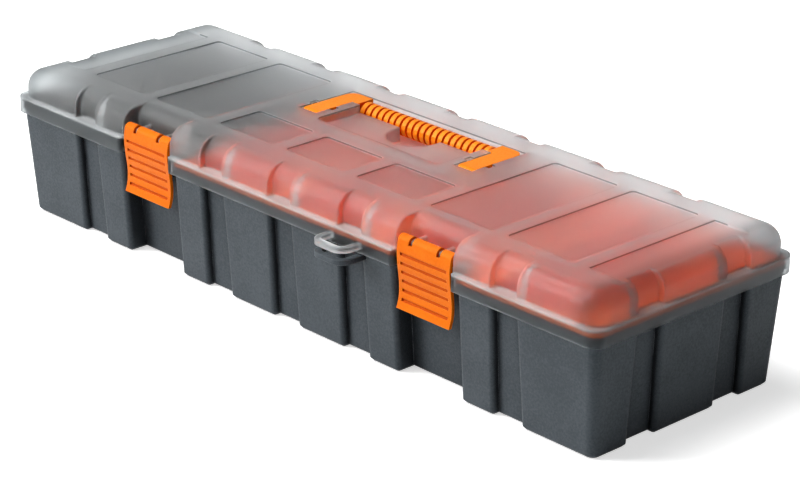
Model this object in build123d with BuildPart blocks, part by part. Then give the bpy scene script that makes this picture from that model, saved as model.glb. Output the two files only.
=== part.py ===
"""Long tool and saw-blade storage case.

A ribbed open base, a see-through domed lid on pinned knuckle hinges along the back, a lift-out
parts tray, two snap-down latches on the front and a carrying handle that folds flush into the lid.

Millimetres. X runs along the case, -Y is the latch side, +Z is up. The origin is the middle of the
footprint on the ground. The lid is closed, both latches are down and the handle is folded flat.
"""

import os
from math import radians, tan

from build123d import *

# ---- case proportions ----
rim_length = 665.4          # over the lid's rim band
rim_width = 214.4
rim_corner = 12.0
rim_bottom = 90.0           # lower edge of the rim band
rim_height = 13.0           # depth of the rim band
rim_overhang = 3.9          # how far the rim band stands out past the base wall
pitch = 80.0                # spacing of the channels, top ribs and latches

# ---- base ----
mouth_rise = 6.5            # top edge of the base above the rim band's lower edge
base_wall = 2.4
base_floor = 2.8
base_corner = 8.0
side_draft = 4.3            # degrees, front and back walls
end_draft = 2.7             # degrees, both end walls
foot_round = 2.5            # rounded edge at the ground
flange_height = 3.5         # stiffening flange around the mouth
skirt_gap = 0.8             # between the flange and the inside of the rim band
lip_width = 2.4             # raised lip on the flange around the open bay
seat_gap = 0.3              # stand-off of parts that rest on one another

# ---- channels pressed into the walls ----
channel_width = 27.0        # at the ground
channel_draft = 1.3         # degrees per side, channels narrow upwards
channel_depth = 5.8
channel_edge = 4.2          # rounding where a channel breaks the wall
end_channel_offset = 46.5   # of the two channels on each end wall
latch_bay_width = 60.0      # in the lid; the base gives the rim band room inside its own
latch_bay_depth = 16.0

# ---- lid ----
dome_height = 24.0          # of the domed top over the rim band
lid_wall = 2.2
dome_ledge = 3.8            # flat of the rim band outside the foot of the dome
dome_corner = 16.5          # in plan
shoulder_radius = 16.0
lid_channel_width = 26.5
bay_shoulder_radius = 13.0  # rolled top edge at the back of each latch bay
bay_round = 3.0             # where a latch bay breaks the rim band
rib_width = 14.0            # raised cross ribs on top
panel_depth = 1.5           # of the sunk panels between the ribs
panel_setback = 40.0        # of the panels from the rim band's face
short_panel_back = -24.0    # the three panels in front of the handle stop here
panel_round = 4.0

# ---- handle ----
handle_span = 195.0         # over the arms
handle_arm = 17.5           # width of an arm
handle_back = 63.5
handle_depth = 11.0         # thickness of the arms
handle_sink = 0.5           # below the top of the lid
handle_clearance = 1.2
pivot_y = 12.0              # pivot axis, level with the middle of the arms
grip_length = 147.4
grip_radius = 8.5
grip_core = 6.6
grip_fins = 21
grip_sides = 16             # flats round the grip
fin_width = 4.4
trunnion_radius = 3.0
trunnion_length = 5.5
running_clearance = 0.05    # radial, of every pivot in its bore

# ---- finger pocket in the lid ----
pocket_width = 140.0
pocket_front = -3.0
pocket_depth = 7.0
pocket_round = 6.0
scoop_radius = 23.5         # round scoop for the finger tips, as deep as the slot of the grip
scoop_centre_y = 41.0
socket_window_length = 8.0  # of the core holes beside the arms
socket_window_width = 4.0
socket_window_y = 23.5

# ---- latches ----
latch_width = 55.0
latch_plate = 2.8
latch_axis_inset = 8.7      # the hinge axis behind the rim band's face
latch_axis_rise = 20.3      # and above its lower edge
latch_barrel = 5.0
latch_drop = 32.4           # of the foot below the rim band's lower edge
latch_slot = 3.8            # for the lid's hinge ears
latch_slot_spacing = 28.8
latch_slot_depth = 0.7      # below the hinge axis, on the face
latch_bow_inset = 3.1       # the face bows out below the barrel
latch_bow_rise = 5.1
latch_waist_inset = 5.6     # dips in at the waist
latch_waist_drop = 17.0
latch_flare_inset = 2.7     # and flares out again at the foot
ear_radius = 3.0
ear_gap = 0.4               # all round an ear in its slot
latch_pin_radius = 1.5
latch_pin_length = 49.0
catch_drop = 6.0            # top of the catch bar on the base, below the rim band's lower edge
catch_depth = 7.0
catch_thickness = 4.0
catch_width = 42.0
catch_chamfer = 1.2
hook_gap = 0.35             # between the hook and the catch
hook_height = 3.5
hook_width = 37.0
groove_count = 6            # finger grooves across the face
groove_start = 9.0          # along the face, from the level of the hinge axis to the first groove
groove_pitch = 7.4
groove_radius = 1.3
groove_end = 3.4            # plain margin at both ends of a groove

# ---- back hinges ----
hinge_places = (-2.5 * pitch, -0.5 * pitch, 0.5 * pitch, 2.5 * pitch)
hinge_axis_drop = 0.4       # of the axis below the rim band's lower edge
hinge_knuckle = 4.5         # outer radius
hinge_clearance = 0.6       # between a knuckle and the rim band
hinge_width = 44.0
hinge_end = 10.0            # width of each outer knuckle, on the base
knuckle_gap = 0.4
hinge_web = 8.0             # depth of the webs that carry the knuckles
hinge_pin_radius = 2.0

# ---- padlock loops ----
loop_place = pitch
loop_width = 36.0
loop_reach = 20.5           # past the rim band
loop_bar = 5.4
loop_thickness = 4.0
loop_lid_rise = 4.2         # underside of the lid's loop above the rim band's lower edge
loop_base_drop = 5.4        # underside of the base's loop below it
loop_corner = 10.5

# ---- tray ----
tray_wall = 2.0
tray_floor_z = 50.0         # leaves the full-length blade space below
tray_clearance = 1.4        # to the ribs inside the base
tray_corner = 7.0
tray_flange = 2.0
tray_walls = 3              # cross walls
tray_wall_drop = 4.0        # their top edge below the flange
tray_bead = 2.0             # width of the raised bead round the flange

rim_top = rim_bottom + rim_height
lid_top = rim_top + dome_height
mouth_height = rim_bottom + mouth_rise
half_rim_length = rim_length / 2
half_rim_width = rim_width / 2
front_channels = [pitch * n for n in (-3, -1, 0, 1, 3)]
back_channels = [pitch * n for n in range(-3, 4)]
end_channels = [-end_channel_offset, end_channel_offset]
latch_places = [-2 * pitch, 2 * pitch]
side_slope = tan(radians(side_draft))
end_slope = tan(radians(end_draft))
ledge_underside = rim_top - lid_wall
mouth_half_width = half_rim_width - rim_overhang
mouth_half_length = half_rim_length - rim_overhang
base_bay_width = latch_bay_width + 2 * (lid_wall + skirt_gap)
panel_back = half_rim_width - panel_setback
panel_front = -panel_back
handle_top = lid_top - handle_sink
pivot_z = handle_top - handle_depth / 2
grip_y = handle_back - grip_radius
grip_z = handle_top - grip_radius
arm_x = (handle_span - handle_arm) / 2
latch_axis_y = latch_axis_inset - half_rim_width
latch_axis_z = rim_bottom + latch_axis_rise
catch_height = rim_bottom - catch_drop
hinge_axis_y = half_rim_width + hinge_knuckle + hinge_clearance
hinge_axis_z = rim_bottom - hinge_axis_drop
loop_front = -half_rim_width - loop_reach
bead_top = ledge_underside - seat_gap
tray_seat = mouth_height + seat_gap
tray_start = latch_places[0] + base_bay_width / 2 + base_wall + tray_clearance


def base_section(level, inset, edge_round=0):
    """Plan of the base at one height, inset from its face; edge_round softens the channel edges."""
    drop = mouth_height - level
    half_length = mouth_half_length - drop * end_slope - inset
    half_width = mouth_half_width - drop * side_slope - inset
    width = channel_width - 2 * level * tan(radians(channel_draft)) + 2 * inset
    corner = base_corner - inset
    with BuildSketch(Plane.XY.offset(level)) as section:
        RectangleRounded(2 * half_length, 2 * half_width, corner)
        with Locations([(x, -half_width) for x in front_channels] + [(x, half_width) for x in back_channels]):
            Rectangle(width, 2 * channel_depth, mode=Mode.SUBTRACT)
        with Locations([(side * half_length, y) for side in (-1, 1) for y in end_channels]):
            Rectangle(2 * channel_depth, width, mode=Mode.SUBTRACT)
        with Locations([(x, -half_width) for x in latch_places]):
            Rectangle(base_bay_width + 2 * inset, 2 * latch_bay_depth, mode=Mode.SUBTRACT)
        if edge_round:
            at_side = [v for v in section.vertices() if abs(v.Y) > half_width - 0.5]
            at_end = [v for v in section.vertices() if abs(v.X) > half_length - 0.5]
            edges = [v for v in at_side if abs(v.X) < half_length - corner - 0.5]
            edges += [v for v in at_end if abs(v.Y) < half_width - corner - 0.5]
            fillet(edges, edge_round)
    return section.sketch


def rim_plan(inset, level):
    """Plan of the rim band with its two latch bays, drawn inset from its outer face."""
    half_length = half_rim_length - inset
    half_width = half_rim_width - inset
    with BuildSketch(Plane.XY.offset(level)) as plan:
        RectangleRounded(2 * half_length, 2 * half_width, rim_corner - inset)
        with Locations([(x, -half_width) for x in latch_places]):
            Rectangle(latch_bay_width + 2 * inset, 2 * latch_bay_depth, mode=Mode.SUBTRACT)
        fillet([v for v in plan.vertices() if abs(v.X) < half_length - rim_corner - 0.5], bay_round)
    return plan.sketch


def dome_block(setback, inset):
    """The dome without its channels and bays, the sides standing back by setback."""
    away = dome_ledge + setback + inset
    with BuildPart() as block:
        with BuildSketch(Plane.XY.offset(ledge_underside - inset)):
            RectangleRounded(
                2 * (half_rim_length - away), 2 * (half_rim_width - away), dome_corner - inset
            )
        extrude(amount=lid_top - ledge_underside)
        fillet(block.faces().sort_by(Axis.Z)[-1].edges(), shoulder_radius - inset)
    return block.part


def dome_form(inset, panel_corner):
    """The lid's solid form above the rim band: channelled dome, latch bays and sunk panels."""
    full = dome_block(0, inset)
    core = dome_block(channel_depth, inset)
    top = lid_top - inset
    bay_wall = half_rim_width - dome_ledge - latch_bay_depth - inset
    bay_radius = bay_shoulder_radius - inset
    with BuildPart() as channel_cutter:
        with BuildSketch():
            with Locations([(x, -half_rim_width) for x in front_channels]):
                Rectangle(lid_channel_width + 2 * inset, half_rim_width)
            with Locations([(x, half_rim_width) for x in back_channels]):
                Rectangle(lid_channel_width + 2 * inset, half_rim_width)
            with Locations([(side * half_rim_length, y) for side in (-1, 1) for y in end_channels]):
                Rectangle(half_rim_width, lid_channel_width + 2 * inset)
        extrude(amount=lid_top + 1)
        add(core, mode=Mode.SUBTRACT)
    with BuildPart() as bay_cutter:
        with BuildSketch(Plane.YZ):
            with BuildLine():
                Polyline(
                    (-bay_wall, 0),
                    (-half_rim_width - 1, 0),
                    (-half_rim_width - 1, top + 1),
                    (-bay_wall + bay_radius, top + 1),
                    (-bay_wall + bay_radius, top),
                )
                RadiusArc((-bay_wall + bay_radius, top), (-bay_wall, top - bay_radius), -bay_radius)
                Line((-bay_wall, top - bay_radius), (-bay_wall, 0))
            make_face()
        extrude(amount=latch_bay_width / 2 + inset, both=True)
    with BuildPart() as form:
        add(full)
        add(channel_cutter.part, mode=Mode.SUBTRACT)
        with Locations([(x, 0, 0) for x in latch_places]):
            add(bay_cutter.part, mode=Mode.SUBTRACT)
        panel_width = pitch - rib_width + 2 * inset
        with BuildSketch(Plane.XY.offset(top)) as panels:
            with Locations([(pitch * n, (panel_front + panel_back) / 2) for n in (-3, -2, 2, 3)]):
                Rectangle(panel_width, panel_back - panel_front + 2 * inset)
            with Locations([(pitch * n, (panel_front + short_panel_back) / 2) for n in (-1, 0, 1)]):
                Rectangle(panel_width, short_panel_back - panel_front + 2 * inset)
            if panel_corner:
                fillet(panels.vertices(), panel_corner)
            last_rib = 3.5 * pitch + rib_width / 2 - inset
            for side in (-1, 1):
                with Locations((side * (last_rib + pitch / 2), (panel_front + panel_back) / 2)):
                    Rectangle(pitch, panel_back - panel_front + 2 * inset)
        extrude(amount=-panel_depth, mode=Mode.SUBTRACT)
    return form.part


def handle_recess(growth, top):
    """Room in the lid for the folded handle and the fingers, drawn larger by growth, up to top."""
    reach = handle_clearance + growth
    back = handle_back + reach
    slot_front = pivot_y - handle_depth / 2 - reach
    grip_front = grip_y - grip_radius - reach
    arm_floor = handle_top - handle_depth - reach
    grip_floor = grip_z - grip_radius - reach
    pocket_floor = lid_top - pocket_depth - growth
    with BuildPart() as recess:
        with BuildSketch(Plane.XY.offset(arm_floor)):
            with Locations([(side * arm_x, (slot_front + back) / 2) for side in (-1, 1)]):
                Rectangle(handle_arm + 2 * reach, back - slot_front)
        extrude(amount=top - arm_floor)
        with BuildSketch(Plane.XY.offset(grip_floor)):
            with Locations((0, scoop_centre_y)):
                Circle(scoop_radius + growth)
            with Locations((0, back)):
                Rectangle(handle_span, handle_span, align=(Align.CENTER, Align.MIN), mode=Mode.SUBTRACT)
                Rectangle(handle_span + 2 * reach, back - grip_front, align=(Align.CENTER, Align.MAX))
        extrude(amount=top - grip_floor)
        with BuildSketch(Plane.XY.offset(pocket_floor)):
            with Locations((0, (pocket_front - growth + back) / 2)):
                RectangleRounded(
                    pocket_width + 2 * growth, back - pocket_front + growth, pocket_round + growth
                )
        extrude(amount=top - pocket_floor)
    return recess.part


def loop_plan(level, root_y):
    """Plan of a padlock loop that grows out of the front at root_y."""
    depth = root_y - loop_front
    hole_width = loop_width - 2 * loop_bar
    with BuildSketch() as hole:
        with Locations((loop_place, root_y)):
            Rectangle(hole_width, depth - loop_bar, align=(Align.CENTER, Align.MAX))
        fillet(hole.vertices().group_by(Axis.Y)[0], loop_corner - loop_bar)
    with BuildSketch(Plane.XY.offset(level)) as plan:
        with Locations((loop_place, root_y)):
            Rectangle(loop_width, depth, align=(Align.CENTER, Align.MAX))
        fillet(plan.vertices().group_by(Axis.Y)[0], loop_corner)
        add(hole.sketch, mode=Mode.SUBTRACT)
    return plan.sketch


def hinge_knuckle_part(width, web):
    """One hinge knuckle of the given width, with the web that carries it."""
    with BuildPart() as knuckle:
        with BuildSketch(Plane.YZ):
            with Locations((hinge_axis_y, hinge_axis_z)):
                Circle(hinge_knuckle)
            Polygon(*web, align=None)
        extrude(amount=width / 2, both=True)
    return knuckle.part


def tray_section(level, inset):
    """Plan of the tray's tub at one height, notched for the right latch bay."""
    drop = mouth_height - level
    room = channel_depth + base_wall + tray_clearance + inset
    left = tray_start + inset
    right = mouth_half_length - drop * end_slope - room
    half_width = mouth_half_width - drop * side_slope - room
    notch_width = base_bay_width + 2 * (base_wall + tray_clearance + inset)
    notch_back = half_width + channel_depth - latch_bay_depth
    with BuildSketch(Plane.XY.offset(level)) as section:
        with Locations(((left + right) / 2, 0)):
            RectangleRounded(right - left, 2 * half_width, tray_corner - inset)
        with Locations((latch_places[1], -notch_back)):
            Rectangle(notch_width, latch_bay_depth, align=(Align.CENTER, Align.MAX), mode=Mode.SUBTRACT)
        corners = [v for v in section.vertices() if abs(v.X - latch_places[1]) < notch_width / 2 + 0.5]
        fillet(corners, bay_round)
    return section.sketch


# ---- base ----
base_outer = [
    base_section(0, foot_round, channel_edge - foot_round),
    base_section(foot_round, 0, channel_edge),
    base_section(mouth_height, 0, channel_edge),
]
base_inner = [base_section(base_floor, base_wall), base_section(mouth_height, base_wall)]
flange_plan = rim_plan(lid_wall + skirt_gap, mouth_height - flange_height)
lip_outer = rim_plan(lid_wall + skirt_gap, mouth_height)
lip_inner = rim_plan(lid_wall + skirt_gap + lip_width, mouth_height)
base_loop = loop_plan(rim_bottom - loop_base_drop, -mouth_half_width + base_wall)
wall_root = mouth_half_width - base_wall / 2
base_knuckle = hinge_knuckle_part(
    hinge_end,
    [
        (wall_root, hinge_axis_z - hinge_web),
        (wall_root, rim_bottom - skirt_gap),
        (hinge_axis_y, rim_bottom - skirt_gap),
        (hinge_axis_y, hinge_axis_z - hinge_knuckle),
    ],
)

with BuildPart() as catch_bar:
    bay_wall = -mouth_half_width + latch_bay_depth
    with BuildSketch(Plane.YZ):
        with BuildLine():
            Polyline(
                (bay_wall + base_wall, catch_height - catch_thickness),
                (bay_wall - catch_depth, catch_height - catch_thickness),
                (bay_wall - catch_depth, catch_height - catch_chamfer),
                (bay_wall - catch_depth + catch_chamfer, catch_height),
                (bay_wall + base_wall, catch_height),
                close=True,
            )
        make_face()
    extrude(amount=catch_width / 2, both=True)

with BuildPart() as base_shell:
    loft(base_outer[:2], ruled=True)
    loft(base_outer[1:], ruled=True)
    add(flange_plan)
    extrude(amount=flange_height)
    with BuildSketch(Plane.XY.offset(mouth_height)):
        add(lip_outer)
        add(lip_inner, mode=Mode.SUBTRACT)
        with Locations((tray_start - 1, 0)):
            Rectangle(rim_length, rim_width, align=(Align.MIN, Align.CENTER), mode=Mode.SUBTRACT)
    extrude(amount=bead_top - mouth_height)
    with Locations([(x, 0, 0) for x in latch_places]):
        add(catch_bar.part)
    add(base_loop)
    extrude(amount=loop_thickness)
    knuckle_shift = (hinge_width - hinge_end) / 2
    with Locations([(x + side * knuckle_shift, 0, 0) for x in hinge_places for side in (-1, 1)]):
        add(base_knuckle)
    loft(base_inner, ruled=True, mode=Mode.SUBTRACT)
    with Locations([(x, hinge_axis_y, hinge_axis_z) for x in hinge_places]):
        Cylinder(
            hinge_pin_radius + running_clearance, hinge_width + 1, rotation=(0, 90, 0), mode=Mode.SUBTRACT
        )
base_shell.part.label = "base_shell"

# ---- lid ----
dome_outer = dome_form(0, panel_round)
dome_inner = dome_form(lid_wall, 0)
rim_outer = rim_plan(0, rim_bottom)
rim_inner = rim_plan(lid_wall, rim_bottom)
recess_tub = handle_recess(lid_wall, lid_top - lid_wall / 2)
recess_room = handle_recess(0, lid_top + 1)
lid_loop = loop_plan(rim_bottom + loop_lid_rise, -half_rim_width + lid_wall / 2)
rim_root = half_rim_width - lid_wall / 2
lid_knuckle = hinge_knuckle_part(
    hinge_width - 2 * hinge_end - 2 * knuckle_gap,
    [
        (rim_root, rim_bottom + knuckle_gap),
        (rim_root, hinge_axis_z + hinge_knuckle + hinge_web / 2),
        (hinge_axis_y, hinge_axis_z + hinge_knuckle),
        (hinge_axis_y, rim_bottom + knuckle_gap),
    ],
)

with BuildPart() as latch_ear:
    ear_wall = half_rim_width - dome_ledge - latch_bay_depth - lid_wall / 2
    with BuildSketch(Plane.YZ):
        with Locations((latch_axis_y, latch_axis_z)):
            Circle(ear_radius)
            Rectangle(
                -latch_axis_y - ear_wall, 2 * ear_radius, align=(Align.MIN, Align.CENTER)
            )
            Circle(latch_pin_radius + running_clearance, mode=Mode.SUBTRACT)
    extrude(amount=latch_slot / 2 - ear_gap, both=True)

with BuildPart() as lid_shell:
    add(rim_outer)
    extrude(amount=rim_height)
    add(rim_inner)
    extrude(amount=rim_height - lid_wall, mode=Mode.SUBTRACT)
    add(dome_outer)
    add(dome_inner, mode=Mode.SUBTRACT)
    add(recess_tub)
    bore_depth = trunnion_length + knuckle_gap
    with Locations([(side * (handle_span + bore_depth) / 2, pivot_y, pivot_z) for side in (-1, 1)]):
        Cylinder(trunnion_radius + lid_wall, bore_depth + 2 * lid_wall, rotation=(0, 90, 0))
    add(recess_room, mode=Mode.SUBTRACT)
    with Locations([(side * (handle_span + bore_depth) / 2, pivot_y, pivot_z) for side in (-1, 1)]):
        Cylinder(
            trunnion_radius + running_clearance, bore_depth, rotation=(0, 90, 0), mode=Mode.SUBTRACT
        )
    window_shift = (handle_arm + socket_window_width) / 2 + handle_clearance
    window_places = [side * arm_x + shift for side in (-1, 1) for shift in (-window_shift, window_shift)]
    with Locations([(x, socket_window_y, lid_top) for x in window_places]):
        Box(socket_window_width, socket_window_length, 4 * handle_depth, mode=Mode.SUBTRACT)
    ear_shifts = [-latch_slot_spacing / 2, latch_slot_spacing / 2]
    with Locations([(x + shift, 0, 0) for x in latch_places for shift in ear_shifts]):
        add(latch_ear.part)
    add(lid_loop)
    extrude(amount=loop_thickness)
    with Locations([(x, 0, 0) for x in hinge_places]):
        add(lid_knuckle)
    with Locations([(x, hinge_axis_y, hinge_axis_z) for x in hinge_places]):
        Cylinder(
            hinge_pin_radius + running_clearance, hinge_width + 1, rotation=(0, 90, 0), mode=Mode.SUBTRACT
        )
lid_shell.part.label = "lid_shell"

# ---- handle ----
fin_pitch = (grip_length + fin_width) / (grip_fins + 1)
fin_places = [(n - (grip_fins - 1) / 2) * fin_pitch for n in range(grip_fins)]

with BuildPart() as handle:
    with BuildSketch(Plane.YZ):
        with Locations((pivot_y, pivot_z)):
            Circle(handle_depth / 2)
            Rectangle(grip_y - pivot_y, handle_depth, align=(Align.MIN, Align.CENTER))
        with Locations((grip_y, grip_z)):
            Circle(grip_radius)
            Rectangle(2 * grip_radius, handle_top - grip_z, align=(Align.CENTER, Align.MIN))
    extrude(amount=handle_span / 2, both=True)
    with BuildSketch(Plane.XY.offset(grip_z - grip_radius)) as handle_plan:
        with Locations((0, handle_back)):
            Rectangle(
                handle_span, handle_back - pivot_y + handle_depth, align=(Align.CENTER, Align.MAX)
            )
        fillet(handle_plan.vertices().group_by(Axis.Y)[-1], grip_radius)
        with Locations((0, grip_y - grip_radius)):
            Rectangle(
                handle_span - 2 * handle_arm, handle_span, align=(Align.CENTER, Align.MAX), mode=Mode.SUBTRACT
            )
    extrude(amount=2 * grip_radius, mode=Mode.INTERSECT)
    with Locations((0, grip_y - grip_radius, grip_z)):
        Box(
            grip_length,
            4 * grip_radius,
            4 * grip_radius,
            align=(Align.CENTER, Align.MIN, Align.CENTER),
            mode=Mode.SUBTRACT,
        )
    with BuildSketch(Plane.YZ):
        with Locations((grip_y, grip_z)):
            RegularPolygon(grip_core, grip_sides)
    extrude(amount=grip_length / 2 + 1, both=True)
    with BuildSketch(*[Plane.YZ.offset(x - fin_width / 2) for x in fin_places]):
        with Locations((grip_y, grip_z)):
            RegularPolygon(grip_radius, grip_sides)
    extrude(amount=fin_width)
    with Locations([(side * handle_span / 2, pivot_y, pivot_z) for side in (-1, 1)]):
        Cylinder(trunnion_radius, 2 * trunnion_length, rotation=(0, 90, 0))
handle.part.label = "handle"

# ---- latches ----
catch_front = -mouth_half_width + latch_bay_depth - catch_depth
hook_top = catch_height - catch_thickness - hook_gap
face_inset = [latch_axis_inset - latch_barrel, latch_bow_inset, latch_waist_inset, latch_flare_inset]
face_level = [latch_axis_rise, latch_bow_rise, -latch_waist_drop, -latch_drop]
face_points = [(i - half_rim_width, rim_bottom + level) for i, level in zip(face_inset, face_level)]

with BuildPart() as ear_slot:
    with BuildSketch(Plane.YZ):
        with Locations((latch_axis_y, latch_axis_z)):
            Circle(ear_radius + ear_gap)
            Rectangle(latch_width, 2 * (ear_radius + ear_gap), align=(Align.MIN, Align.CENTER))
        with Locations((latch_axis_y, latch_axis_z - latch_slot_depth)):
            Rectangle(latch_width, latch_width, align=(Align.CENTER, Align.MIN))
    extrude(amount=latch_slot / 2, both=True)

with BuildPart() as latch:
    with BuildSketch(Plane.YZ):
        with BuildLine():
            face = Spline(*face_points)
            back = Spline(*[(y + latch_plate, z) for y, z in face_points])
            Line(face @ 0, back @ 0)
            Line(face @ 1, back @ 1)
        make_face()
        with Locations((latch_axis_y, latch_axis_z)):
            Circle(latch_barrel)
    extrude(amount=latch_width / 2, both=True)
    with BuildSketch(Plane.YZ):
        with Locations((catch_front - hook_gap, hook_top)):
            Rectangle(
                catch_front - hook_gap + half_rim_width - latch_waist_inset - latch_plate / 2,
                hook_height,
                align=(Align.MAX, Align.MAX),
            )
    extrude(amount=hook_width / 2, both=True)
    with Locations([(x, 0, 0) for x in ear_shifts]):
        add(ear_slot.part, mode=Mode.SUBTRACT)
    with Locations((-latch_width / 2, latch_axis_y, latch_axis_z)):
        Cylinder(
            latch_pin_radius + running_clearance,
            latch_width + latch_pin_length + knuckle_gap,
            rotation=(0, 90, 0),
            mode=Mode.SUBTRACT,
        )
    groove_marks = [
        face.position_at(groove_start + groove_pitch * n, position_mode=PositionMode.LENGTH)
        for n in range(groove_count)
    ]
    with Locations([(0, mark.X, mark.Y) for mark in groove_marks]):
        Cylinder(
            groove_radius, latch_width - 2 * groove_end, rotation=(0, 90, 0), mode=Mode.SUBTRACT
        )

with BuildPart() as latch_left:
    with Locations((latch_places[0], 0, 0)):
        add(latch.part)
latch_left.part.label = "latch_left"

with BuildPart() as latch_right:
    with Locations((latch_places[1], 0, 0)):
        add(latch.part)
latch_right.part.label = "latch_right"

with BuildPart() as latch_pin_left:
    with Locations((latch_places[0], latch_axis_y, latch_axis_z)):
        Cylinder(latch_pin_radius, latch_pin_length, rotation=(0, 90, 0))
latch_pin_left.part.label = "latch_pin_left"

with BuildPart() as latch_pin_right:
    with Locations((latch_places[1], latch_axis_y, latch_axis_z)):
        Cylinder(latch_pin_radius, latch_pin_length, rotation=(0, 90, 0))
latch_pin_right.part.label = "latch_pin_right"

# ---- hinge pins ----
with BuildPart() as hinge_pins:
    with Locations([(x, hinge_axis_y, hinge_axis_z) for x in hinge_places]):
        Cylinder(hinge_pin_radius, hinge_width, rotation=(0, 90, 0))
hinge_pins.part.label = "hinge_pins"

# ---- tray ----
tray_rim = tray_seat + tray_flange
tray_outer = [tray_section(tray_floor_z, 0), tray_section(tray_seat, 0)]
tray_inner = [tray_section(tray_floor_z + tray_wall, tray_wall), tray_section(tray_rim, tray_wall)]
wall_bounds = [tray_section(tray_floor_z, tray_wall / 2), tray_section(tray_rim, tray_wall / 2)]
flange_outer = rim_plan(lid_wall + skirt_gap + seat_gap, tray_seat)
bead_inner = rim_plan(lid_wall + skirt_gap + seat_gap + tray_bead, tray_seat)
tray_end = mouth_half_length - channel_depth - base_wall - tray_clearance
compartment = (tray_end - tray_start) / (tray_walls + 1)

with BuildPart() as cross_walls:
    with BuildSketch(Plane.XY.offset(tray_floor_z)):
        with Locations([(tray_start + compartment * (n + 1), 0) for n in range(tray_walls)]):
            Rectangle(tray_wall, rim_width)
    extrude(amount=tray_rim - tray_wall_drop - tray_floor_z)
    loft(wall_bounds, ruled=True, mode=Mode.INTERSECT)

with BuildPart() as tray:
    with BuildSketch(Plane.XY.offset(tray_seat)):
        add(flange_outer)
        with Locations((tray_start, 0)):
            Rectangle(rim_length, rim_width, align=(Align.MAX, Align.CENTER), mode=Mode.SUBTRACT)
    extrude(amount=tray_flange)
    with BuildSketch(Plane.XY.offset(tray_seat)):
        add(flange_outer)
        add(bead_inner, mode=Mode.SUBTRACT)
        with Locations((tray_start, 0)):
            Rectangle(rim_length, rim_width, align=(Align.MAX, Align.CENTER), mode=Mode.SUBTRACT)
    extrude(amount=bead_top - tray_seat)
    loft(tray_outer, ruled=True)
    loft(tray_inner, ruled=True, mode=Mode.SUBTRACT)
    add(cross_walls.part)
tray.part.label = "tray"

pieces = [
    base_shell,
    lid_shell,
    tray,
    handle,
    latch_left,
    latch_right,
    latch_pin_left,
    latch_pin_right,
    hinge_pins,
]

os.makedirs("parts", exist_ok=True)
for piece in pieces:
    export_step(piece.part, f"parts/{piece.part.label}.step")
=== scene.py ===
"""Dresses the long tool and saw-blade storage case: finishes for its moulded parts, studio, camera."""

from math import cos, radians, sin

import bpy
from mathutils import Matrix, Vector


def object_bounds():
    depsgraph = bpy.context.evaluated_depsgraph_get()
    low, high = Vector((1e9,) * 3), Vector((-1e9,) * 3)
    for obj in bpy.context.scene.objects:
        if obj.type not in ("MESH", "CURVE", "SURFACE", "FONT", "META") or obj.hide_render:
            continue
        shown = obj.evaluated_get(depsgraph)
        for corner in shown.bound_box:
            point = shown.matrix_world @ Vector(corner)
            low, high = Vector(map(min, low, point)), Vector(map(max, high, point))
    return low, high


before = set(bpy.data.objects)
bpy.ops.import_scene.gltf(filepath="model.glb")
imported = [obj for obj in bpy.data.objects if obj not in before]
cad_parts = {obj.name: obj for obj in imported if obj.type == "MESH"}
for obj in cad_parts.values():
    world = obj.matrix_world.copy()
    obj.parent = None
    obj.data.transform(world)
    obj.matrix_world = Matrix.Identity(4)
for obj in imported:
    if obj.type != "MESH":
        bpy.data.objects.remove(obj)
cad_box = [list(map(float, corner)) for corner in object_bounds()]

# ---- base shell ----
# The dark, ribbed lower half is injection moulded from charcoal polypropylene. Its outside has a fine
# spark-eroded grain and faint flow mottling, its channels and crevices are darkened with painted shade,
# and its edges are polished pale by handling.
BASE_CHARCOAL = (0.067, 0.078, 0.088, 1)
BASE_MOTTLE = (0.047, 0.056, 0.064, 1)
BASE_RUBBED = (0.125, 0.138, 0.148, 1)
# Painted shade for the channels and crevices of the base.
BASE_PAINTED_SHADE = (0.008, 0.009, 0.011, 1)

# Noises: scale, detail and, where it isn't the usual, roughness. Spreads: where a value's change
# begins and ends.
GRAIN = (560, 3, 0.6)
GRAIN_WEIGHT = 1.1
GRAIN_HEIGHT = 0.0002
FLOW = (22, 4)
WEAR = (60, 3)
MOTTLE_SPREAD = (0.75, 1.35)
WEAR_SPREAD = (0.3, 0.65)
# Where the painted shade in crevices begins and ends, over the occlusion.
PAINTED_SHADE_SPREAD = (0.52, 0.95)
EDGE_SPREAD = (0.72, 0.99)
NOISE_SPREAD = (0.2, 0.8)
DULL_DRIFT = 0.07
EDGE_SAMPLES = 4
PAINTED_SHADE_SAMPLES = 6

# A Mix node has a socket of each name for every kind of value, so its colour ones go by number.
MIX_FACTOR, MIX_FIRST, MIX_SECOND = 0, 6, 7
MIX_RESULT = 2


def new_finish(name):
    """A node material reduced to its Principled shader and output; returns it, its tree and shader."""
    finish = bpy.data.materials.new(name)
    finish.use_nodes = True
    tree = finish.node_tree
    return finish, tree, tree.nodes["Principled BSDF"]


def noise_on_object(tree, scale, detail, roughness=0.5, stretch=(1, 1, 1)):
    """Noise in object metres, stretched along the axes, so a pattern keeps its size on every piece."""
    place = tree.nodes.new("ShaderNodeTexCoord")
    turn = tree.nodes.new("ShaderNodeMapping")
    turn.inputs["Scale"].default_value = stretch
    noise = tree.nodes.new("ShaderNodeTexNoise")
    noise.inputs["Scale"].default_value = scale
    noise.inputs["Detail"].default_value = detail
    noise.inputs["Roughness"].default_value = roughness
    tree.links.new(place.outputs["Object"], turn.inputs["Vector"])
    tree.links.new(turn.outputs["Vector"], noise.inputs["Vector"])
    return noise.outputs["Fac"]


def ramp(tree, value, low, high, at_low=0.0, at_high=1.0):
    """Value mapped smoothly from at_low, at or under low, to at_high, at or over high."""
    step = tree.nodes.new("ShaderNodeMapRange")
    step.interpolation_type = "SMOOTHSTEP"
    for socket, number in zip(("From Min", "From Max", "To Min", "To Max"), (low, high, at_low, at_high)):
        step.inputs[socket].default_value = number
    tree.links.new(value, step.inputs["Value"])
    return step.outputs["Result"]


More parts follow.
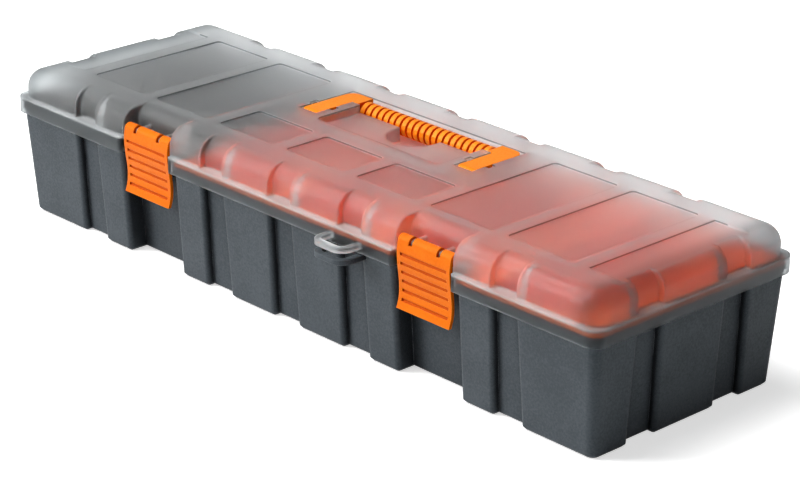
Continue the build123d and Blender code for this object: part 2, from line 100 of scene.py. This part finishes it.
def arithmetic(tree, operation, *values):
    """The values, each a socket or a number, joined by the operation."""
    node = tree.nodes.new("ShaderNodeMath")
    node.operation = operation
    for socket, value in zip(node.inputs, values):
        if isinstance(value, (int, float)):
            socket.default_value = value
        else:
            tree.links.new(value, socket)
    return node.outputs["Value"]


def mixed_colour(tree, amount, low, high):
    """Low, a colour or socket, turning into the colour high as amount goes from 0 to 1."""
    blend = tree.nodes.new("ShaderNodeMix")
    blend.data_type = "RGBA"
    tree.links.new(amount, blend.inputs[MIX_FACTOR])
    if isinstance(low, tuple):
        blend.inputs[MIX_FIRST].default_value = low
    else:
        tree.links.new(low, blend.inputs[MIX_FIRST])
    blend.inputs[MIX_SECOND].default_value = high
    return blend.outputs[MIX_RESULT]


def edge_of(tree, radius):
    """Normals rounded over the radius at edges, and how near an edge is: 0 on a flat, 1 on the edge."""
    soft = tree.nodes.new("ShaderNodeBevel")
    soft.samples = EDGE_SAMPLES
    soft.inputs["Radius"].default_value = radius
    true = tree.nodes.new("ShaderNodeNewGeometry")
    agree = tree.nodes.new("ShaderNodeVectorMath")
    agree.operation = "DOT_PRODUCT"
    tree.links.new(soft.outputs["Normal"], agree.inputs[0])
    tree.links.new(true.outputs["Normal"], agree.inputs[1])
    return soft.outputs["Normal"], ramp(tree, agree.outputs["Value"], *EDGE_SPREAD, 1.0, 0.0)


def moulded_plastic(name, tones, roughness, shine, grain, edge_round, painted_shade_reach):
    """Moulded plastic: tones are its colour, mottling, rubbed edges and a painted shade that darkens its
    crevices, out to the given reach.
    """
    colour, mottle, rubbed, painted_shade = tones
    finish, tree, shader = new_finish(name)
    shader.inputs["Specular IOR Level"].default_value = shine
    shader.inputs["Specular Tint"].default_value = rubbed
    soft_normal, edge = edge_of(tree, edge_round)
    fine = noise_on_object(tree, *GRAIN)
    drift = arithmetic(tree, "MULTIPLY_ADD", fine, GRAIN_WEIGHT, noise_on_object(tree, *FLOW))
    body = mixed_colour(tree, ramp(tree, drift, *MOTTLE_SPREAD), colour, mottle)
    # Painted shade: ambient occlusion darkens the colour towards the shade tone in crevices and recesses.
    shade_occlusion = tree.nodes.new("ShaderNodeAmbientOcclusion")
    shade_occlusion.samples = PAINTED_SHADE_SAMPLES
    shade_occlusion.only_local = True
    shade_occlusion.inputs["Distance"].default_value = painted_shade_reach
    body = mixed_colour(tree, ramp(tree, shade_occlusion.outputs["AO"], *PAINTED_SHADE_SPREAD, 1.0, 0.0), body, painted_shade)
    wear = arithmetic(tree, "MULTIPLY", edge, ramp(tree, noise_on_object(tree, *WEAR), *WEAR_SPREAD))
    tree.links.new(mixed_colour(tree, wear, body, rubbed), shader.inputs["Base Color"])
    dull = ramp(tree, fine, *NOISE_SPREAD, roughness - DULL_DRIFT, roughness + DULL_DRIFT)
    tree.links.new(dull, shader.inputs["Roughness"])
    bump = tree.nodes.new("ShaderNodeBump")
    bump.inputs["Strength"].default_value = grain
    bump.inputs["Distance"].default_value = GRAIN_HEIGHT
    tree.links.new(fine, bump.inputs["Height"])
    tree.links.new(soft_normal, bump.inputs["Normal"])
    tree.links.new(bump.outputs["Normal"], shader.inputs["Normal"])
    return finish


def dress(node, finish):
    """Gives a CAD node its finish."""
    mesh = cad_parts[node].data
    mesh.materials.clear()
    mesh.materials.append(finish)


charcoal = moulded_plastic(
    "charcoal_plastic",
    (BASE_CHARCOAL, BASE_MOTTLE, BASE_RUBBED, BASE_PAINTED_SHADE),
    roughness=0.55,
    shine=0.35,
    grain=0.45,
    edge_round=0.0012,
    painted_shade_reach=0.060,
)
dress("base_shell", charcoal)

# ---- tray ----
# The lift-out parts tray is a thin red-orange moulding with cross walls, left slightly glossy so that
# it wipes clean. It hangs on the mouth of the base by its own flange, under the closed lid.
TRAY_RED = (0.99, 0.200, 0.072, 1)
TRAY_MOTTLE = (0.95, 0.160, 0.055, 1)
TRAY_RUBBED = (0.98, 0.26, 0.11, 1)
# Painted shade for the tray's corners and crevices.
TRAY_PAINTED_SHADE = (0.66, 0.055, 0.014, 1)

tray_red = moulded_plastic(
    "tray_plastic",
    (TRAY_RED, TRAY_MOTTLE, TRAY_RUBBED, TRAY_PAINTED_SHADE),
    roughness=0.42,
    shine=0.40,
    grain=0.12,
    edge_round=0.0006,
    painted_shade_reach=0.006,
)
dress("tray", tray_red)

# ---- lid ----
# The domed lid is one frosted clear polypropylene moulding with an even wall. Its sunk panels are clearer
# than the ribs round them, and its corners and the ledge over its rim scatter most. Its rim band and end
# flanks are given a darker painted-shade tint, and the walls of its panel steps a painted shadow line.
LID_TINT = (0.978, 0.996, 1.0, 1)
LID_CLOUD = (0.952, 0.970, 0.976, 1)
# Painted shade tint for the rim band and the end flanks.
LID_RIM_PAINTED_SHADE = (0.55, 0.58, 0.59, 1)
# Painted shadow line along the walls of the panel steps.
LID_STEP_PAINTED_SHADOW = (0.22, 0.23, 0.24, 1)
LID_ROUGHNESS = 0.40
LID_IOR = 1.22
LID_EDGE_ROUND = 0.003
CLOUD = (30, 3)
CLOUD_SPREAD = (0.3, 0.7)

# Milk is the share of the light that the plastic scatters, and a fade is where, in metres, one look
# turns into the next: up the lid for the rim, across it for the back and the padlock loop, out from
# its middle for the ends and sides, and off a level for the panels, the ledge and the steps.
LID_TOP = cad_box[1][2]
PANEL_SINK = 0.0015
PANEL_LEVEL = LID_TOP - PANEL_SINK
PANEL_FADE = (0.0001, 0.0012)
PANEL_MILK = 0.012
RIB_MILK = 0.027
RIM_FADE = (0.0990, 0.1060)
RIM_MILK = 0.004
BACK_FADE = (-0.02, 0.10)
BACK_MILK = 0.06
EDGE_MILK = 0.14
LOOP_FADE = (-0.112, -0.109)
LOOP_MILK = 0.07
LEDGE_LEVEL = 0.103
LEDGE_FADE = (0.0006, 0.0018)
LEDGE_MILK = 0.20
STEP_LEVEL = LID_TOP - PANEL_SINK / 2
STEP_FADE = (0.0005, 0.0007)
STEP_END_FADE = (0.298, 0.300)
STEP_SIDE_FADE = (0.068, 0.070)
END_FADE = (0.296, 0.318)


def apart(tree, value, level):
    """How far the value is from the level, to either side of it."""
    return arithmetic(tree, "ABSOLUTE", arithmetic(tree, "SUBTRACT", value, level))


frosted, tree, shader = new_finish("frosted_clear_plastic")
soft_normal, edge = edge_of(tree, LID_EDGE_ROUND)
place = tree.nodes.new("ShaderNodeTexCoord")
split_place = tree.nodes.new("ShaderNodeSeparateXYZ")
tree.links.new(place.outputs["Object"], split_place.inputs["Vector"])
along, across, height = (split_place.outputs[axis] for axis in "XYZ")
out_to_end = arithmetic(tree, "ABSOLUTE", along)
out_to_side = arithmetic(tree, "ABSOLUTE", across)

off_panel = ramp(tree, apart(tree, height, PANEL_LEVEL), *PANEL_FADE)
over_rim = ramp(tree, height, *RIM_FADE)
to_back = ramp(tree, across, *BACK_FADE)
on_loop = ramp(tree, across, *LOOP_FADE, 1.0, 0.0)
on_ledge = ramp(tree, apart(tree, height, LEDGE_LEVEL), *LEDGE_FADE, 1.0, 0.0)
on_end = ramp(tree, out_to_end, *END_FADE)
# Where the painted shadow line goes: the walls of the panel steps, which also get no milk.
painted_step_shadow_mask = ramp(tree, apart(tree, height, STEP_LEVEL), *STEP_FADE, 1.0, 0.0)
for out, fade in ((out_to_end, STEP_END_FADE), (out_to_side, STEP_SIDE_FADE)):
    painted_step_shadow_mask = arithmetic(tree, "MULTIPLY", painted_step_shadow_mask, ramp(tree, out, *fade, 1.0, 0.0))

milk = arithmetic(tree, "MULTIPLY_ADD", off_panel, RIB_MILK, PANEL_MILK)
milk = arithmetic(tree, "MULTIPLY_ADD", milk, over_rim, RIM_MILK)
for where, share in ((to_back, BACK_MILK), (edge, EDGE_MILK), (on_loop, LOOP_MILK), (on_ledge, LEDGE_MILK)):
    milk = arithmetic(tree, "MULTIPLY_ADD", where, share, milk)
milk = arithmetic(tree, "MULTIPLY", milk, arithmetic(tree, "SUBTRACT", 1.0, painted_step_shadow_mask))
tree.links.new(arithmetic(tree, "SUBTRACT", 1.0, milk), shader.inputs["Transmission Weight"])

cloud = ramp(tree, noise_on_object(tree, *CLOUD), *CLOUD_SPREAD)
on_rim = arithmetic(tree, "SUBTRACT", 1.0, arithmetic(tree, "MAXIMUM", over_rim, on_loop))
# Painted shade: the rim band and the end flanks get a darker tint.
painted_shade_on_rim_and_ends = arithmetic(tree, "MAXIMUM", on_rim, on_end)
tint = mixed_colour(tree, cloud, LID_TINT, LID_CLOUD)
tint = mixed_colour(tree, painted_shade_on_rim_and_ends, tint, LID_RIM_PAINTED_SHADE)
# The panel steps' walls get a painted shadow line.
tree.links.new(mixed_colour(tree, painted_step_shadow_mask, tint, LID_STEP_PAINTED_SHADOW), shader.inputs["Base Color"])
shader.inputs["Roughness"].default_value = LID_ROUGHNESS
shader.inputs["IOR"].default_value = LID_IOR
tree.links.new(soft_normal, shader.inputs["Normal"])
dress("lid_shell", frosted)

# ---- handle ----
# The folding handle is one bright orange moulding, with rings round its grip for the hand. It turns on
# two trunnions moulded in one with it, and folds down into the recess of the lid.
HANDLE_ORANGE = (0.84, 0.222, 0.006, 1)
HANDLE_MOTTLE = (0.79, 0.187, 0.005, 1)
HANDLE_RUBBED = (1.0, 0.42, 0.06, 1)
# Painted shade for the grooves between the grip rings and other crevices.
HANDLE_PAINTED_SHADE = (0.72, 0.085, 0.003, 1)

orange = moulded_plastic(
    "orange_plastic",
    (HANDLE_ORANGE, HANDLE_MOTTLE, HANDLE_RUBBED, HANDLE_PAINTED_SHADE),
    roughness=0.36,
    shine=0.5,
    grain=0.12,
    edge_round=0.0006,
    painted_shade_reach=0.0035,
)
dress("handle", orange)

# ---- latches ----
# The two snap-down latches are moulded in the same orange as the handle, a little deeper in tone. Each
# turns on a steel pin in the ears of the lid, and its hook snaps over a catch bar of the base.
LATCH_ORANGE = (0.72, 0.148, 0.003, 1)
LATCH_MOTTLE = (0.66, 0.120, 0.002, 1)
LATCH_RUBBED = (1.0, 0.40, 0.05, 1)
# Painted shade for the latch grooves, slots and crevices.
LATCH_PAINTED_SHADE = (0.46, 0.035, 0.001, 1)

latch_orange = moulded_plastic(
    "latch_plastic",
    (LATCH_ORANGE, LATCH_MOTTLE, LATCH_RUBBED, LATCH_PAINTED_SHADE),
    roughness=0.42,
    shine=0.22,
    grain=0.12,
    edge_round=0.0006,
    painted_shade_reach=0.0045,
)
dress("latch_left", latch_orange)
dress("latch_right", latch_orange)

# ---- pins ----
# Straight steel pins carry the latches in the ears of the lid, and the lid in the knuckles of its back
# hinges. They are cut from drawn wire, which leaves faint drawing marks along them.
STEEL = (0.50, 0.50, 0.49, 1)
STEEL_ROUGHNESS = (0.22, 0.38)
DRAWING_MARKS = (2500, 2, 0.5, (0.04, 1, 1))

steel, tree, shader = new_finish("drawn_steel")
marks = noise_on_object(tree, *DRAWING_MARKS)
tree.links.new(ramp(tree, marks, *NOISE_SPREAD, *STEEL_ROUGHNESS), shader.inputs["Roughness"])
shader.inputs["Base Color"].default_value = STEEL
shader.inputs["Metallic"].default_value = 1.0
for pin in ("latch_pin_left", "latch_pin_right", "hinge_pins"):
    dress(pin, steel)

# ---- floor ----
# A seamless pale sheet lies under the case. The camera sees it near white with the case's soft shadow
# on it, and pure white further out. The shine and the see-through parts of the case see it dimmer.
FLOOR_REACH = 9.0
FLOOR_LEVEL = -0.0004
FLOOR_WHITE = (0.86, 0.86, 0.86, 1)
FLOOR_ROUGHNESS = 0.9
FLOOR_LIFT = 0.62
FLOOR_FADE = (0.7, 2.2)
FLOOR_MIRRORED = 0.20
UNSCATTERED_UNDER = 0.5


def mirrored_rays(tree):
    """The node of all ray kinds, and 1 for a glossy or see-through ray that no matt face scattered."""
    rays = tree.nodes.new("ShaderNodeLightPath")
    sharp = arithmetic(tree, "MAXIMUM", rays.outputs["Is Glossy Ray"], rays.outputs["Is Transmission Ray"])
    direct = arithmetic(tree, "LESS_THAN", rays.outputs["Diffuse Depth"], UNSCATTERED_UNDER)
    return rays, arithmetic(tree, "MULTIPLY", sharp, direct)


floor_mesh = bpy.data.meshes.new("floor_sheet")
floor_mesh.from_pydata(
    [(x, y, FLOOR_LEVEL) for x, y in ((-1, -1), (1, -1), (1, 1), (-1, 1))], [], [(0, 1, 2, 3)]
)
floor_mesh.transform(Matrix.Diagonal((FLOOR_REACH, FLOOR_REACH, 1, 1)))
floor = bpy.data.objects.new("floor_sheet", floor_mesh)
bpy.context.scene.collection.objects.link(floor)
floor_finish, tree, shader = new_finish("floor_sheet")
shader.inputs["Base Color"].default_value = FLOOR_WHITE
shader.inputs["Roughness"].default_value = FLOOR_ROUGHNESS
shader.inputs["Specular IOR Level"].default_value = 0.0
shader.inputs["Emission Color"].default_value = (1, 1, 1, 1)
rays, mirrored = mirrored_rays(tree)
ground = tree.nodes.new("ShaderNodeTexCoord")
distance = tree.nodes.new("ShaderNodeVectorMath")
distance.operation = "LENGTH"
tree.links.new(ground.outputs["Object"], distance.inputs[0])
lift = ramp(tree, distance.outputs["Value"], *FLOOR_FADE, FLOOR_LIFT, 1.0)
lift = arithmetic(tree, "MULTIPLY", rays.outputs["Is Camera Ray"], lift)
glow = arithmetic(tree, "MAXIMUM", arithmetic(tree, "MULTIPLY", mirrored, FLOOR_MIRRORED), lift)
tree.links.new(glow, shader.inputs["Emission Strength"])
floor_mesh.materials.append(floor_finish)

# ---- studio light ----
# Three soft boxes in a dim room with a white backdrop behind the case: the key stands at the front
# left, a broad one hangs overhead, and a weak one fills the right end.
ROOM_LEVEL = 0.07
ROOM_SEEN = 0.18
BACKDROP_BEHIND = (-0.72, 0.69, 0.0)
BACKDROP_SIDES = (-0.4, 0.5)
BACKDROP_TOP = (0.04, 0.30)
SOFT_BOXES = (
    # place in metres, power in watts, side in metres
    ((-3.4, -3.9, 2.6), 232.0, 1.8),
    ((-0.9, -0.7, 2.7), 112.0, 2.0),
    ((3.0, -0.5, 1.5), 4.0, 1.4),
)
SOFT_BOX_AIM = Vector((0, 0, 0.06))

world = bpy.data.worlds.new("studio_room")
bpy.context.scene.world = world
world.use_nodes = True
tree = world.node_tree
room = tree.nodes["Background"]
room.inputs["Color"].default_value = (1, 1, 1, 1)
sight = tree.nodes.new("ShaderNodeTexCoord")
split_sight = tree.nodes.new("ShaderNodeSeparateXYZ")
tree.links.new(sight.outputs["Generated"], split_sight.inputs["Vector"])
behind = tree.nodes.new("ShaderNodeVectorMath")
behind.operation = "DOT_PRODUCT"
behind.inputs[1].default_value = BACKDROP_BEHIND
tree.links.new(sight.outputs["Generated"], behind.inputs[0])
low = ramp(tree, split_sight.outputs["Z"], *BACKDROP_TOP, 1.0 - ROOM_SEEN, 0.0)
facing = ramp(tree, behind.outputs["Value"], *BACKDROP_SIDES)
backdrop = arithmetic(tree, "MULTIPLY_ADD", low, facing, ROOM_SEEN)
rays, mirrored = mirrored_rays(tree)
level = arithmetic(tree, "MAXIMUM", arithmetic(tree, "MULTIPLY", mirrored, backdrop), ROOM_LEVEL)
level = arithmetic(tree, "MAXIMUM", level, rays.outputs["Is Camera Ray"])
tree.links.new(level, room.inputs["Strength"])

for number, (place, power, side) in enumerate(SOFT_BOXES, start=1):
    lamp = bpy.data.lights.new(f"soft_box_{number}", "AREA")
    lamp.energy = power
    lamp.size = side
    stand = bpy.data.objects.new(lamp.name, lamp)
    stand.location = place
    stand.rotation_euler = (SOFT_BOX_AIM - Vector(place)).to_track_quat("-Z", "Y").to_euler()
    bpy.context.scene.collection.objects.link(stand)

# ---- camera ----
# A long lens stands off the front right corner of the case, well above it, and looks down along it, so
# that the lid, the latches and the right end all show.
CAMERA_PLACE = (1.478478, -1.382490, 0.867210)
CAMERA_YAW = radians(46.4105)
CAMERA_PITCH = radians(-22.2586)
CAMERA_ROLL = radians(0.5817)
CAMERA_LENS = 124.242
CAMERA_SENSOR = 36.0
CAMERA_REACH = 60.0

ahead = Vector(
    (-sin(CAMERA_YAW) * cos(CAMERA_PITCH), cos(CAMERA_YAW) * cos(CAMERA_PITCH), sin(CAMERA_PITCH))
)
level_right = Vector((cos(CAMERA_YAW), sin(CAMERA_YAW), 0))
level_up = level_right.cross(ahead)
right = cos(CAMERA_ROLL) * level_right + sin(CAMERA_ROLL) * level_up
up = cos(CAMERA_ROLL) * level_up - sin(CAMERA_ROLL) * level_right
lens = bpy.data.cameras.new("camera")
lens.sensor_width = CAMERA_SENSOR
lens.lens = CAMERA_LENS
lens.clip_end = CAMERA_REACH
camera = bpy.data.objects.new("camera", lens)
camera.matrix_world = Matrix.Translation(CAMERA_PLACE) @ Matrix((right, up, -ahead)).transposed().to_4x4()
bpy.context.scene.collection.objects.link(camera)
bpy.context.scene.camera = camera
bpy.context.scene.view_settings.view_transform = "Standard"
